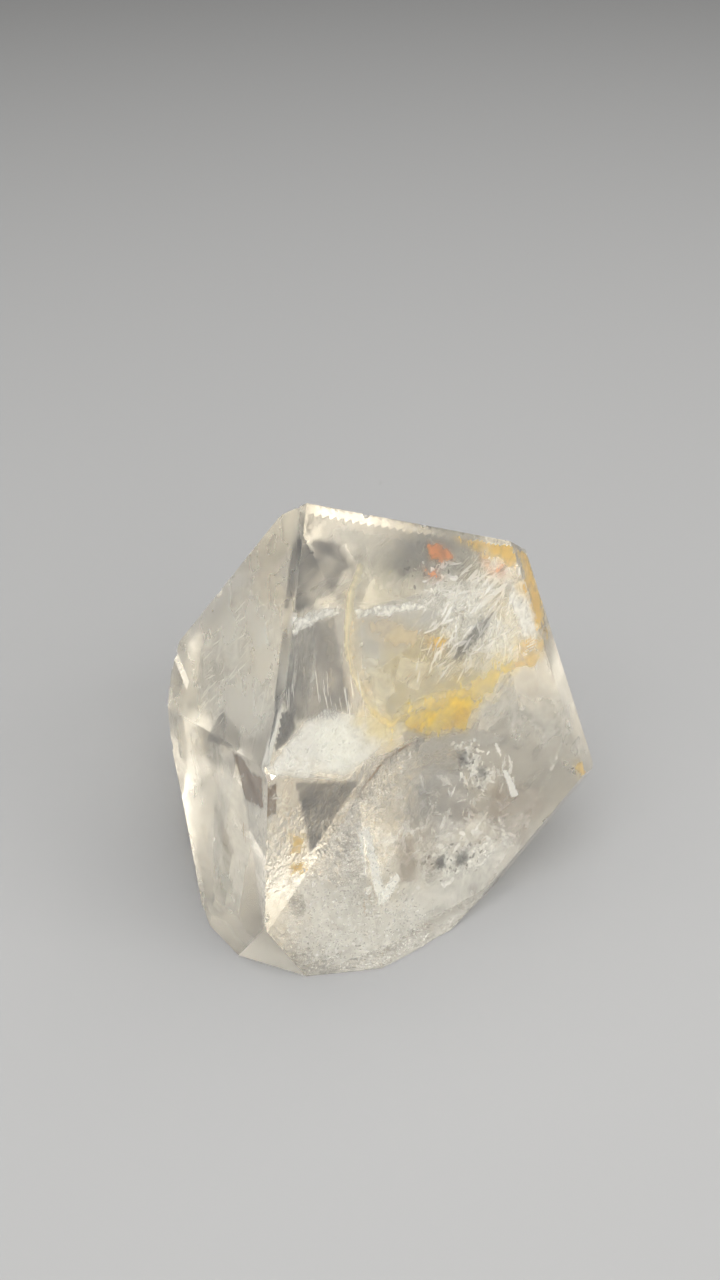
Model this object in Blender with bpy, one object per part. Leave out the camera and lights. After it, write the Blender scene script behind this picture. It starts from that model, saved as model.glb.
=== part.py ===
"""A stubby clear quartz crystal, of the kind called a herkimer diamond, lying on one of its own faces.

The sizes below are in millimetres, and the finished crystal is in metres, +Z up. The origin is under the middle of the crystal's box, on the surface that it rests on.
The crystal is one piece. It is cut from a block by its flat faces, then by the valleys where two
growth layers meet, by the large frosted break low on its front right, and by the chips along its edges.
"""

import math
import random

import bmesh
import bpy
from mathutils import Euler, Vector, noise

MM = 0.001

# The point inside the crystal that every face is measured from.
HEART = Vector((-0.3, -3.2, 26.0))

# Each flat face: (azimuth, elevation, distance from HEART). Azimuth 0 looks out of the front, -Y, and
# turns towards +X. Elevation is the tilt of the face's outward direction above the horizon, in degrees.
FACES = {
    "front_roof": (38.0, 14.8, 13.2),
    "left_roof": (-68.4, 15.8, 21.5),
    "ridge_foot": (-76.2, 19.7, 20.4),
    "right_strip": (73.3, 19.0, 22.3),
    "right_side": (96.0, 18.2, 25.9),
    "left_wall": (-62.8, 2.8, 21.7),
    "belt_band": (-66.9, 1.8, 21.45),
    "left_apron": (-70.7, 9.3, 21.3),
    "left_toe": (-52.0, 8.0, 22.4),
    "front_toe": (-22.0, -10.0, 28.9),
    "front_wall": (27.0, -3.5, 14.8),
    "break_left": (8.0, 9.0, 17.2),
    "break_middle": (34.0, 10.4, 13.4),
    "break_right": (52.7, -20.5, 25.2),
    "left_corner_roof": (-112.0, 14.0, 29.3),
    "left_corner_wall": (-78.6, -6.0, 28.0),
    "back_left_wall": (-127.0, -8.0, 29.0),
    "back_left_roof": (-125.0, 36.8, 25.2),
    "back_roof": (179.0, 47.4, 21.0),
    "back_roof_step": (-168.0, 56.5, 18.9),
    "back_right_roof": (128.0, 27.0, 27.7),
    "back_wall": (176.0, -9.0, 28.6),
    "back_ledge": (-171.0, 11.0, 28.0),
    "back_right_wall": (138.0, -7.0, 27.6),
    "back_right_ledge": (131.0, 10.0, 26.9),
    "under_right": (113.0, -54.5, 29.0),
    "base": (0.0, -90.0, 26.0),
}

# Faces that meet in a valley: the crystal reaches out to whichever face of the group is furthest.
VALLEYS = (
    ("left_roof", "ridge_foot"),
    ("left_wall", "belt_band", "left_apron"),
    ("left_wall", "belt_band", "left_toe"),
    ("front_wall", "break_left"),
    ("front_wall", "break_middle"),
    ("back_wall", "back_ledge"),
    ("back_right_wall", "back_right_ledge"),
    ("back_roof", "back_roof_step"),
)

# The block that the faces are cut from, and how close to a plane a point counts as on it.
BLOCK = 200.0
ON_PLANE = 1e-5

# The break: a very shallow dish that meets the front roof in an arch.
BREAK_ARCH_CENTRE = HEART + Vector((6.5, -22.4, -30.5))
BREAK_ARCH_RADIUS = 36.7
BREAK_DISH_RADIUS = 260.0
BREAK_CELL = 1.3
BREAK_HALF_SIZE = 44.0
BREAK_RIPPLE_STEP = 3.4
BREAK_RIPPLE = 0.03
BREAK_LUMP = 0.13
BREAK_LUMP_SIZE = 3.6

# The notch in the left corner, and the bruise where the belt meets the front ridge.
NOTCH_AT = HEART + Vector((-27.4, 8.6, 1.3))
NOTCH_SIZE = (3.2, 9.0, 0.9)
NOTCH_TURN = (8.0, -38.0, 14.0)
BRUISE_AT = HEART + Vector((-13.1, -24.2, 9.4))
BRUISE_RADIUS = 1.5

# Chips along the sharp edges.
CHIP_SEED = 41
CHIP_COUNT = 46
CHIP_RADII = (0.45, 1.35)
CHIP_BITE = 0.42
CHIP_SPACING = 3.2
CHIP_TRIES = 1800
CHIP_SMALLNESS = 2.5
CHIP_LUMPS = 0.35
CHIP_FLOOR = 1.6
CHIP_EDGE_LENGTH = 2.0
SHARP_EDGE = math.radians(24.0)
SAME_FACE = math.radians(2.0)

# Points closer together than this are merged at the end.
MERGE = 2e-3


def direction(azimuth, elevation):
    a, e = math.radians(azimuth), math.radians(elevation)
    return Vector((math.sin(a) * math.cos(e), -math.cos(a) * math.cos(e), math.sin(e)))


def face_plane(name):
    azimuth, elevation, distance = FACES[name]
    normal = direction(azimuth, elevation)
    return HEART + normal * distance, normal


def new_object(name, bm):
    mesh = bpy.data.meshes.new(name)
    bm.to_mesh(mesh)
    bm.free()
    obj = bpy.data.objects.new(name, mesh)
    bpy.context.scene.collection.objects.link(obj)
    return obj


def cut_block(name, planes):
    """A large cube with everything outside each plane cut away and the cut closed."""
    bm = bmesh.new()
    bmesh.ops.create_cube(bm, size=BLOCK)
    bmesh.ops.translate(bm, vec=HEART, verts=bm.verts)
    for point, normal in planes:
        everything = bm.verts[:] + bm.edges[:] + bm.faces[:]
        cut = bmesh.ops.bisect_plane(
            bm, geom=everything, dist=ON_PLANE, plane_co=point, plane_no=normal, clear_outer=True
        )
        rim = [item for item in cut["geom_cut"] if isinstance(item, bmesh.types.BMEdge)]
        bmesh.ops.edgeloop_fill(bm, edges=[edge for edge in rim if edge.is_boundary])
    bmesh.ops.recalc_face_normals(bm, faces=bm.faces)
    return new_object(name, bm)


def valley_cutter(names):
    """The space outside all of the faces."""
    flipped = [(point, -normal) for point, normal in map(face_plane, names)]
    return cut_block("valley", flipped)


def break_cutter():
    """A thick slab whose inner side is the dished, rippled surface of the break."""
    _, out = face_plane("front_roof")
    side = Vector((0, 0, 1)).cross(out).normalized()
    up = out.cross(side)
    steps = int(2 * BREAK_HALF_SIZE / BREAK_CELL)
    rim_depth = math.sqrt(BREAK_DISH_RADIUS**2 - BREAK_ARCH_RADIUS**2)
    bm = bmesh.new()
    rows = []
    for i in range(steps + 1):
        row = []
        for j in range(steps + 1):
            u = -BREAK_HALF_SIZE + i * BREAK_CELL
            v = -BREAK_HALF_SIZE + j * BREAK_CELL
            reach = math.hypot(u, v)
            depth = math.sqrt(BREAK_DISH_RADIUS**2 - reach**2) - rim_depth
            place = BREAK_ARCH_CENTRE + side * u + up * v
            lump = BREAK_LUMP * noise.noise(place / BREAK_LUMP_SIZE)
            ripple = BREAK_RIPPLE * math.sin(reach / BREAK_RIPPLE_STEP * math.tau + 3 * lump)
            row.append(bm.verts.new(place - out * (depth + lump + ripple)))
        rows.append(row)
    faces = [
        bm.faces.new((rows[i][j], rows[i + 1][j], rows[i + 1][j + 1], rows[i][j + 1]))
        for i in range(steps)
        for j in range(steps)
    ]
    grown = bmesh.ops.extrude_face_region(bm, geom=faces)
    moved = [item for item in grown["geom"] if isinstance(item, bmesh.types.BMVert)]
    bmesh.ops.translate(bm, vec=out * BREAK_HALF_SIZE, verts=moved)
    bmesh.ops.recalc_face_normals(bm, faces=bm.faces)
    return new_object("break_dish", bm)


def notch_cutter():
    bm = bmesh.new()
    bmesh.ops.create_cube(bm, size=1.0)
    bmesh.ops.scale(bm, vec=NOTCH_SIZE, verts=bm.verts)
    turn = Euler([math.radians(angle) for angle in NOTCH_TURN]).to_matrix()
    bmesh.ops.rotate(bm, matrix=turn, verts=bm.verts)
    bmesh.ops.translate(bm, vec=NOTCH_AT, verts=bm.verts)
    return new_object("notch", bm)


def add_pebble(bm, centre, radius, phase):
    """A lumpy little ball: what it cuts leaves a shell-shaped chip."""
    made = bmesh.ops.create_icosphere(bm, subdivisions=2, radius=radius)
    shift = Vector((phase, 2.0 * phase, -phase))
    for vert in made["verts"]:
        vert.co *= 1.0 + CHIP_LUMPS * noise.noise(vert.co / radius + shift)
    bmesh.ops.translate(bm, vec=centre, verts=made["verts"])


def sharp_edge_places(obj):
    """Seeded places along the crystal's outward edges, each with the way out of it."""
    rng = random.Random(CHIP_SEED)
    bm = bmesh.new()
    bm.from_mesh(obj.data)
    bmesh.ops.dissolve_limit(bm, angle_limit=SAME_FACE, verts=bm.verts, edges=bm.edges)
    edges = [
        edge
        for edge in bm.edges
        if len(edge.link_faces) == 2
        and edge.calc_face_angle_signed() > SHARP_EDGE
        and edge.calc_length() > CHIP_EDGE_LENGTH
        and min(vert.co.z for vert in edge.verts) > CHIP_FLOOR
    ]
    places = []
    lengths = [edge.calc_length() for edge in edges]
    for _ in range(CHIP_TRIES):
        edge = rng.choices(edges, weights=lengths)[0]
        along = rng.random()
        place = edge.verts[0].co.lerp(edge.verts[1].co, along)
        if all((place - other).length > CHIP_SPACING for other, _ in places):
            out = (edge.link_faces[0].normal + edge.link_faces[1].normal).normalized()
            places.append((place.copy(), out.copy()))
        if len(places) == CHIP_COUNT:
            break
    bm.free()
    return places


def chip_cutter(obj):
    rng = random.Random(CHIP_SEED + 1)
    bm = bmesh.new()
    add_pebble(bm, BRUISE_AT, BRUISE_RADIUS, 0.5)
    low, high = CHIP_RADII
    for count, (place, out) in enumerate(sharp_edge_places(obj)):
        if (place - BRUISE_AT).length < 2 * CHIP_SPACING:
            continue
        radius = low + (high - low) * rng.random() ** CHIP_SMALLNESS
        add_pebble(bm, place + out * radius * (1.0 - CHIP_BITE), radius, 1.7 * count)
    return new_object("chips", bm)


def cut_away(obj, cutter):
    """Takes the cutter's space out of the crystal, and removes the cutter."""
    boolean = obj.modifiers.new(cutter.name, "BOOLEAN")
    boolean.operation = "DIFFERENCE"
    boolean.solver = "EXACT"
    boolean.object = cutter
    evaluated = obj.evaluated_get(bpy.context.evaluated_depsgraph_get())
    mesh = bpy.data.meshes.new_from_object(evaluated)
    obj.modifiers.clear()
    old = obj.data
    obj.data = mesh
    bpy.data.meshes.remove(old)
    bpy.data.objects.remove(cutter)


def tidy_mesh(obj):
    bm = bmesh.new()
    bm.from_mesh(obj.data)
    bmesh.ops.remove_doubles(bm, verts=bm.verts, dist=MERGE)
    bmesh.ops.dissolve_degenerate(bm, edges=bm.edges, dist=MERGE)
    bmesh.ops.triangulate(bm, faces=bm.faces)
    bmesh.ops.recalc_face_normals(bm, faces=bm.faces)
    bm.to_mesh(obj.data)
    bm.free()


def stand_on_origin(obj):
    """Puts the middle of the box over the origin and its lowest point on Z = 0, in metres."""
    places = [vert.co for vert in obj.data.vertices]
    low = Vector([min(place[axis] for place in places) for axis in range(3)])
    high = Vector([max(place[axis] for place in places) for axis in range(3)])
    middle = (low + high) / 2
    for vert in obj.data.vertices:
        vert.co = (vert.co - Vector((middle.x, middle.y, low.z))) * MM


def quartz_material():
    material = bpy.data.materials.new("clear_quartz")
    material.use_nodes = True
    shader = material.node_tree.nodes["Principled BSDF"]
    shader.inputs["Base Color"].default_value = (0.94, 0.93, 0.89, 1.0)
    shader.inputs["Metallic"].default_value = 0.0
    shader.inputs["Roughness"].default_value = 0.05
    shader.inputs["IOR"].default_value = 1.544
    shader.inputs["Transmission Weight"].default_value = 1.0
    return material


for old_object in list(bpy.data.objects):
    bpy.data.objects.remove(old_object)

in_a_valley = {name for group in VALLEYS for name in group}
flat_faces = [face_plane(name) for name in FACES if name not in in_a_valley]
crystal = cut_block("quartz_crystal", flat_faces)
for group in VALLEYS:
    cut_away(crystal, valley_cutter(group))
cut_away(crystal, break_cutter())
cut_away(crystal, notch_cutter())
cut_away(crystal, chip_cutter(crystal))
tidy_mesh(crystal)
stand_on_origin(crystal)
crystal.data.materials.append(quartz_material())
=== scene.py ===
"""The looks of a stubby clear quartz crystal with satin faces, a frosted break and stained inner cracks."""

from collections import namedtuple
from math import cos, exp, radians, sin

import bmesh
import bpy
import numpy as np
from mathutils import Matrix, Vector, kdtree, noise
from mathutils.bvhtree import BVHTree


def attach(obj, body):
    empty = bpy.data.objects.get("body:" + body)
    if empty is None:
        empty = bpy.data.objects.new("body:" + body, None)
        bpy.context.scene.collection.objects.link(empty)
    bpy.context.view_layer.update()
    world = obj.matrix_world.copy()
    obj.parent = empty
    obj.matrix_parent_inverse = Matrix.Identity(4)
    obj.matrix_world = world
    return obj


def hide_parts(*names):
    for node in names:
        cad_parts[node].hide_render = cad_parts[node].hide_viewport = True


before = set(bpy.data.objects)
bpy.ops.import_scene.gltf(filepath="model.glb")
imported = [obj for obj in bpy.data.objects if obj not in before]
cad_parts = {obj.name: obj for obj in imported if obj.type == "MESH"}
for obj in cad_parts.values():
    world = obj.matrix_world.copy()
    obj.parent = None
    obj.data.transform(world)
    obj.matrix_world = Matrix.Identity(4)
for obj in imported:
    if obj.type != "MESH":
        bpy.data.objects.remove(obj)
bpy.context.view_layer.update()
MM = 0.001

# The camera looks down on the crystal from the front, with the whole of it in the lower middle of an
# upright frame.
CAMERA_PLACE = Vector((-3.03, -165.27, 150.0)) * MM
CAMERA_TILT = radians(55.0)
SENSOR_HEIGHT, LENS = 36.0, 42.3
NEAREST_SEEN = 10.0 * MM
camera_data = bpy.data.cameras.new("camera")
camera_data.sensor_fit = "VERTICAL"
camera_data.sensor_height = SENSOR_HEIGHT
camera_data.lens = LENS
camera_data.clip_start = NEAREST_SEEN
camera = bpy.data.objects.new("camera", camera_data)
camera.location = CAMERA_PLACE
camera.rotation_euler = (CAMERA_TILT, 0.0, 0.0)
bpy.context.scene.collection.objects.link(camera)
bpy.context.scene.camera = camera

# The floor is a wide sheet of pale paper, a hair below the face that the crystal rests on.
FLOOR_HALF = 3.0
FLOOR_DROP = 0.15 * MM
FLOOR_COLOUR = (0.20, 0.199, 0.196, 1.0)
FLOOR_ROUGHNESS = 0.8
floor_mesh = bpy.data.meshes.new("floor")
corner_sides = ((-1, -1), (1, -1), (1, 1), (-1, 1))
floor_corners = [(x * FLOOR_HALF, y * FLOOR_HALF, -FLOOR_DROP) for x, y in corner_sides]
floor_mesh.from_pydata(floor_corners, [], [(0, 1, 2, 3)])
floor = bpy.data.objects.new("floor", floor_mesh)
bpy.context.scene.collection.objects.link(floor)
paper = bpy.data.materials.new("floor_paper")
paper.use_nodes = True
paper_shader = paper.node_tree.nodes["Principled BSDF"]
paper_shader.inputs["Base Color"].default_value = FLOOR_COLOUR
paper_shader.inputs["Roughness"].default_value = FLOOR_ROUGHNESS
floor_mesh.materials.append(paper)

# Soft studio light: a wide panel over the crystal, one to the left of the camera and a stronger one to its
# right, in a dim grey room, which is what the clear parts of the crystal show. Light needs many bounces to
# find its way through the crystal and its veils.
ROOM_COLOUR = (0.50, 0.50, 0.49, 1.0)
ROOM_STRENGTH = 0.25
LIT_PLACE = Vector((0.0, 0.0, 0.03))
room = bpy.data.worlds.new("room")
room.use_nodes = True
room.node_tree.nodes["Background"].inputs["Color"].default_value = ROOM_COLOUR
room.node_tree.nodes["Background"].inputs["Strength"].default_value = ROOM_STRENGTH
bpy.context.scene.world = room
bpy.context.scene.view_settings.view_transform = "Standard"
light_paths = bpy.context.scene.cycles
light_paths.max_bounces = 20
light_paths.diffuse_bounces = 8
light_paths.glossy_bounces = 8
light_paths.transmission_bounces = 20
light_paths.transparent_max_bounces = 24


def soft_panel(name, place, size, watts):
    """A rectangular panel light that faces the crystal."""
    light = bpy.data.lights.new(name, "AREA")
    light.shape = "RECTANGLE"
    light.size, light.size_y = size
    light.energy = watts
    panel = bpy.data.objects.new(name, light)
    panel.location = place
    panel.rotation_euler = (Vector(place) - LIT_PLACE).to_track_quat("Z", "Y").to_euler()
    bpy.context.scene.collection.objects.link(panel)


soft_panel("panel_above", place=(0.02, -0.05, 0.60), size=(1.0, 0.9), watts=10.0)
soft_panel("panel_left", place=(-0.50, -0.48, 0.36), size=(0.8, 0.7), watts=4.6)
soft_panel("panel_right", place=(0.48, -0.58, 0.38), size=(1.1, 0.8), watts=13.5)

# The crystal is one piece of clear quartz. Its front roof and front wall are polished by growth, its left
# faces are satin with fine growth steps, and the break low on its front right is frosted and stippled.
HEART = Vector((-1.03, -5.27, 26.0)) * MM
BREAK_CENTRE = HEART + Vector((6.5, -22.4, -30.5)) * MM
BREAK_RADIUS = 36.9 * MM
FINE_EDGE = 1.2 * MM
SPLIT_ROUNDS = 6
SHARP = radians(14.0)
SAME_FACE = radians(1.0)
SAME_POINT = 0.001 * MM
# Outward direction of each face (azimuth, elevation), its roughness, and the height of its growth steps.
FACES = (
    (38.0, 14.8, 0.04, 0.01),
    (-68.4, 15.8, 0.26, 0.07),
    (-76.2, 19.7, 0.22, 0.05),
    (73.3, 19.0, 0.14, 0.02),
    (96.0, 18.2, 0.22, 0.05),
    (-62.8, 2.8, 0.12, 0.03),
    (-66.9, 1.8, 0.10, 0.02),
    (-70.7, 9.3, 0.24, 0.05),
    (-52.0, 8.0, 0.22, 0.05),
    (-22.0, -10.0, 0.36, 0.05),
    (27.0, -3.5, 0.04, 0.01),
    (-112.0, 14.0, 0.20, 0.06),
    (-78.6, -6.0, 0.32, 0.05),
    (-127.0, -8.0, 0.20, 0.06),
    (-125.0, 36.8, 0.14, 0.05),
    (179.0, 47.4, 0.10, 0.04),
    (-168.0, 56.5, 0.14, 0.04),
    (128.0, 27.0, 0.16, 0.05),
    (176.0, -9.0, 0.18, 0.05),
    (-171.0, 11.0, 0.2, 0.05),
    (138.0, -7.0, 0.2, 0.05),
    (131.0, 10.0, 0.2, 0.05),
    (113.0, -54.5, 0.30, 0.05),
    (0.0, -90.0, 0.25, 0.0),
    (8.0, 9.0, 0.20, 0.04),
    (34.0, 10.4, 0.14, 0.04),
    (52.7, -20.5, 0.16, 0.04),
)
CHIP_ROUGHNESS, CHIP_STIPPLE = 0.30, 0.5
CHIP_LEAN = radians(2.5)
BREAK_ROUGHNESS = 0.13
BREAK_STEPS = 0.05
BREAK_DROP = 0.01 * MM
BREAK_FACING, LEFT_FACING = 0.9, 0.98
STIPPLE_END = (-7.0 * MM, 3.0 * MM)
STIPPLE_LOSS = 0.75
STEP_SIZE = 2.2 * MM
STEP_STRETCH = 5.0
STEP_LINE = Vector((0.35, 0.1, 1.0))
FACE_SHIFT = 9.0
DIMPLE_SIZE = 0.8 * MM
STEP_SHARE, DIMPLE_SHARE = 0.7, 0.3
EDGE_FADE = 0.7 * MM
Face = namedtuple("Face", "middle right up out")


def direction(azimuth, elevation):
    """Azimuth 0 looks out of the front, -Y, and turns towards +X."""
    a, e = radians(azimuth), radians(elevation)
    return Vector((sin(a) * cos(e), -cos(a) * cos(e), sin(e)))


def face_frame(azimuth, elevation, distance):
    """Where a face's middle is, and which way is right, up and out for someone who looks at it."""
    out = direction(azimuth, elevation)
    right = Vector((0.0, 0.0, 1.0)).cross(out).normalized()
    return Face(HEART + out * distance * MM, right, out.cross(right), out)


FACE_DIRECTIONS = np.array([direction(face[0], face[1]) for face in FACES])
ROOF = face_frame(38.0, 14.8, 13.2)
BREAK_LEFT = face_frame(8.0, 9.0, 17.2)


def in_the_break(place, normal):
    """True on the dished break, which lies just inside the roof's plane and within the arch."""
    depth = (ROOF.middle - place).dot(ROOF.out)
    from_centre = place - BREAK_CENTRE
    reach = (from_centre - ROOF.out * from_centre.dot(ROOF.out)).length
    return depth > BREAK_DROP and reach < BREAK_RADIUS and normal.dot(ROOF.out) > BREAK_FACING


def on_the_left_facet(normal):
    """True on the flat facet that ends the break on its left."""
    return normal.dot(BREAK_LEFT.out) > LEFT_FACING


def finish_of(face):
    """(roughness, step height, stipple) of one small face. The break is most stippled on its left."""
    middle = face.calc_center_median()
    if in_the_break(middle, face.normal):
        past = ((middle - ROOF.middle).dot(ROOF.right) - STIPPLE_END[0]) / (STIPPLE_END[1] - STIPPLE_END[0])
        return BREAK_ROUGHNESS, BREAK_STEPS, 1.0 - STIPPLE_LOSS * max(0.0, min(1.0, past))
    likeness = FACE_DIRECTIONS @ np.array(face.normal)
    best = int(likeness.argmax())
    if likeness[best] < cos(CHIP_LEAN):
        return CHIP_ROUGHNESS, 0.0, CHIP_STIPPLE
    return FACES[best][2], FACES[best][3], 1.0 if on_the_left_facet(face.normal) else 0.0


def refined_copy(node):
    """The node's mesh, merged, with no edge longer than FINE_EDGE."""
    bm = bmesh.new()
    bm.from_mesh(node.data)
    bmesh.ops.remove_doubles(bm, verts=bm.verts, dist=SAME_POINT)
    bmesh.ops.dissolve_limit(bm, angle_limit=SAME_FACE, verts=bm.verts, edges=bm.edges)
    bmesh.ops.triangulate(bm, faces=bm.faces)
    for _ in range(SPLIT_ROUNDS):
        long_edges = [edge for edge in bm.edges if edge.calc_length() > FINE_EDGE]
        bmesh.ops.subdivide_edges(bm, edges=long_edges, cuts=1)
        bmesh.ops.triangulate(bm, faces=[face for face in bm.faces if len(face.verts) > 3])
    return bm


def growth_steps(place, normal, height):
    """How far a point stands out: shallow steps, drawn out along the face's own slope."""
    along = normal.cross(STEP_LINE).normalized()
    across = normal.cross(along)
    u, v = place.dot(along), place.dot(across)
    steps = noise.noise(Vector((u / STEP_SIZE, v / (STEP_SIZE * STEP_STRETCH), normal.x * FACE_SHIFT)))
    return height * MM * (STEP_SHARE * steps + DIMPLE_SHARE * noise.noise(place / DIMPLE_SIZE))


bm = refined_copy(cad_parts["quartz_crystal"])
bm.normal_update()
finishes = [finish_of(face) for face in bm.faces]
for face, finish in zip(bm.faces, finishes):
    face.smooth = True
sharp_edges = [edge for edge in bm.edges if len(edge.link_faces) == 2 and edge.calc_face_angle(0.0) > SHARP]
for edge in sharp_edges:
    edge.smooth = False
sharp_places = kdtree.KDTree(2 * len(sharp_edges))
for count, edge in enumerate(sharp_edges):
    sharp_places.insert(edge.verts[0].co, 2 * count)
    sharp_places.insert((edge.verts[0].co + edge.verts[1].co) / 2, 2 * count + 1)
sharp_places.balance()
bm.faces.index_update()
for vert in bm.verts:
    heights = [finishes[face.index][1] for face in vert.link_faces]
    gap = sharp_places.find(vert.co)[2]
    fade = min(1.0, gap / EDGE_FADE)
    vert.co += vert.normal * growth_steps(vert.co, vert.normal, min(heights)) * fade
crystal_mesh = bpy.data.meshes.new("crystal")
bm.to_mesh(crystal_mesh)
bm.free()
for name, column in (("satin", 0), ("frost", 2)):
    values = crystal_mesh.attributes.new(name, "FLOAT", "FACE")
    values.data.foreach_set("value", [finish[column] for finish in finishes])
crystal = bpy.data.objects.new("crystal", crystal_mesh)
bpy.context.scene.collection.objects.link(crystal)


QUARTZ_COLOUR = (0.97, 0.96, 0.93, 1.0)
QUARTZ_IOR = 1.544
QUARTZ_CLEARNESS = 0.97
QUARTZ_DEPTH_COLOUR = (0.93, 0.89, 0.80, 1.0)
QUARTZ_DEPTH_DENSITY = 22.0
SMUDGES_PER_METRE, SMUDGE_SWING, SMUDGE_LEAST = 160.0, 1.4, 0.3
PITS_PER_METRE = 1300.0
PIT_RELIEF = 0.22 * MM


def quartz_material():
    """Clear quartz, satin where the faces are, with a faint warm body colour."""
    material = bpy.data.materials.new("clear_quartz")
    material.use_nodes = True
    nodes, links = material.node_tree.nodes, material.node_tree.links
    shader = nodes["Principled BSDF"]
    shader.inputs["Base Color"].default_value = QUARTZ_COLOUR
    shader.inputs["IOR"].default_value = QUARTZ_IOR
    shader.inputs["Transmission Weight"].default_value = QUARTZ_CLEARNESS
    place = nodes.new("ShaderNodeTexCoord")
    satin = nodes.new("ShaderNodeAttribute")
    satin.attribute_name = "satin"
    frost = nodes.new("ShaderNodeAttribute")
    frost.attribute_name = "frost"
    smudge = nodes.new("ShaderNodeTexNoise")
    smudge.inputs["Scale"].default_value = SMUDGES_PER_METRE
    smudge.inputs["Detail"].default_value = 4.0
    links.new(place.outputs["Object"], smudge.inputs["Vector"])
    swing = nodes.new("ShaderNodeMath")
    swing.operation = "MULTIPLY_ADD"
    swing.inputs[1].default_value = SMUDGE_SWING
    swing.inputs[2].default_value = SMUDGE_LEAST
    links.new(smudge.outputs["Fac"], swing.inputs[0])
    rough = nodes.new("ShaderNodeMath")
    rough.operation = "MULTIPLY"
    links.new(satin.outputs["Fac"], rough.inputs[0])
    links.new(swing.outputs["Value"], rough.inputs[1])
    links.new(rough.outputs["Value"], shader.inputs["Roughness"])
    stipple = nodes.new("ShaderNodeTexNoise")
    stipple.inputs["Scale"].default_value = PITS_PER_METRE
    stipple.inputs["Detail"].default_value = 3.0
    links.new(place.outputs["Object"], stipple.inputs["Vector"])
    bump = nodes.new("ShaderNodeBump")
    bump.inputs["Distance"].default_value = PIT_RELIEF
    links.new(frost.outputs["Fac"], bump.inputs["Strength"])
    links.new(stipple.outputs["Fac"], bump.inputs["Height"])
    links.new(bump.outputs["Normal"], shader.inputs["Normal"])
    absorb = nodes.new("ShaderNodeVolumeAbsorption")
    absorb.inputs["Color"].default_value = QUARTZ_DEPTH_COLOUR
    absorb.inputs["Density"].default_value = QUARTZ_DEPTH_DENSITY
    links.new(absorb.outputs["Volume"], nodes["Material Output"].inputs["Volume"])
    return material


crystal_mesh.materials.append(quartz_material())
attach(crystal, "root")
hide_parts("quartz_crystal")

# The largest inner crack is healed quartz, shaped like a bowl that opens towards the front roof. It is pale
# and nearly clear, and its rim on the left and along the bottom is dense and yellowed by iron. It is an
# open sheet at a known depth behind a face, and its "cover" fades it out towards its ragged edge.
VEIL_SKIN = 0.25 * MM
RAGGED = ((0.45, 0.5), (1.6, 0.4))
CRUMPLE_GRAIN, CRUMPLE_SHIFT = 0.6, 7.0
LEAST_COVER = 0.01
crystal_hull = BVHTree.FromObject(crystal, bpy.context.evaluated_depsgraph_get())


def behind(face, right, up, depth):
    """The point that many millimetres right, up and in from a face's middle."""
    return face.middle + (face.right * right + face.up * up - face.out * depth) * MM


def gap_to_line(point, start, end):
    """How far a flat point is from a stretch of line."""
    line = end - start
    share = max(0.0, min(1.0, (point - start).dot(line) / max(line.length_squared, 1e-9)))
    return (point - start - line * share).length


def gap_to_path(point, path):
    return min(gap_to_line(point, start, end) for start, end in zip(path, path[1:]))


def is_within(point, outline):
    """Even-odd rule for a closed outline of flat points."""
    within = False
    for start, end in zip(outline, outline[1:] + outline[:1]):
        if (start.y > point.y) != (end.y > point.y):
            crossing = start.x + (point.y - start.y) / (end.y - start.y) * (end.x - start.x)
            within = within != (point.x < crossing)
    return within


def lies_inside(place):
    """True where a point is inside the crystal, clear of its skin."""
    nearest, normal, _, gap = crystal_hull.find_nearest(place)
    return gap > VEIL_SKIN and (place - nearest).dot(normal) < 0.0


def add_sheet(bm, face, outline, depth, strength=1.0, lean=0.0, tip=0.0, bowl=0.0, fade=0.8, crumple=0.15,
              cell=0.5, rim=(), rim_width=0.6, rim_floor=0.0):
    """Adds one sheet to a mesh. The outline is (right, up) in millimetres from the face's middle, and depth
    is millimetres in. lean and tip slope it to the right and upwards, bowl sinks its middle, crumple
    roughens it, fade is how wide its soft edge is, and a rim is a line where it is dense."""
    cover, stain = bm.verts.layers.float["cover"], bm.verts.layers.float["stain"]
    flat = [Vector(point) for point in outline]
    rim_line = [Vector(point) for point in rim]
    margin = fade / 2 + cell
    low = Vector((min(point.x for point in flat) - margin, min(point.y for point in flat) - margin))
    high = Vector((max(point.x for point in flat) + margin, max(point.y for point in flat) + margin))
    middle, half = (low + high) / 2, (high - low) / 2
    columns, rows = (int(span / cell) + 1 for span in (high - low))
    made = {}
    for i in range(columns + 1):
        for j in range(rows + 1):
            point = Vector((low.x + i * cell, low.y + j * cell))
            here = Vector((point.x, point.y, depth))
            ragged = fade * sum(height * noise.noise(here * grain) for grain, height in RAGGED)
            gap = gap_to_path(point, flat + flat[:1]) * (1 if is_within(point, flat) else -1) + ragged
            share = max(0.0, min(1.0, gap / fade + 0.5))
            dense = 1.0
            if rim_line:
                dense = rim_floor + (1 - rim_floor) * exp(-((gap_to_path(point, rim_line) / rim_width) ** 2))
            off = Vector(((point.x - middle.x) / half.x, (point.y - middle.y) / half.y))
            sink = depth + sin(radians(lean)) * (point.x - middle.x)
            sink += sin(radians(tip)) * (point.y - middle.y)
            sink += bowl * max(0.0, 1.0 - off.length_squared)
            fold = Vector((point.x * CRUMPLE_GRAIN, point.y * CRUMPLE_GRAIN, depth + CRUMPLE_SHIFT))
            sink += crumple * noise.noise(fold)
            place = behind(face, point.x, point.y, sink)
            if gap > -margin and lies_inside(place):
                vert = bm.verts.new(place)
                vert[cover] = strength * share * share * (3 - 2 * share) * dense
                vert[stain] = dense if rim_line else 0.0
                made[i, j] = vert
    for i in range(columns):
        for j in range(rows):
            ring = [made.get(spot) for spot in ((i, j), (i + 1, j), (i + 1, j + 1), (i, j + 1))]
            if None not in ring and max(vert[cover] for vert in ring) > LEAST_COVER:
                bm.faces.new(ring)


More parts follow.
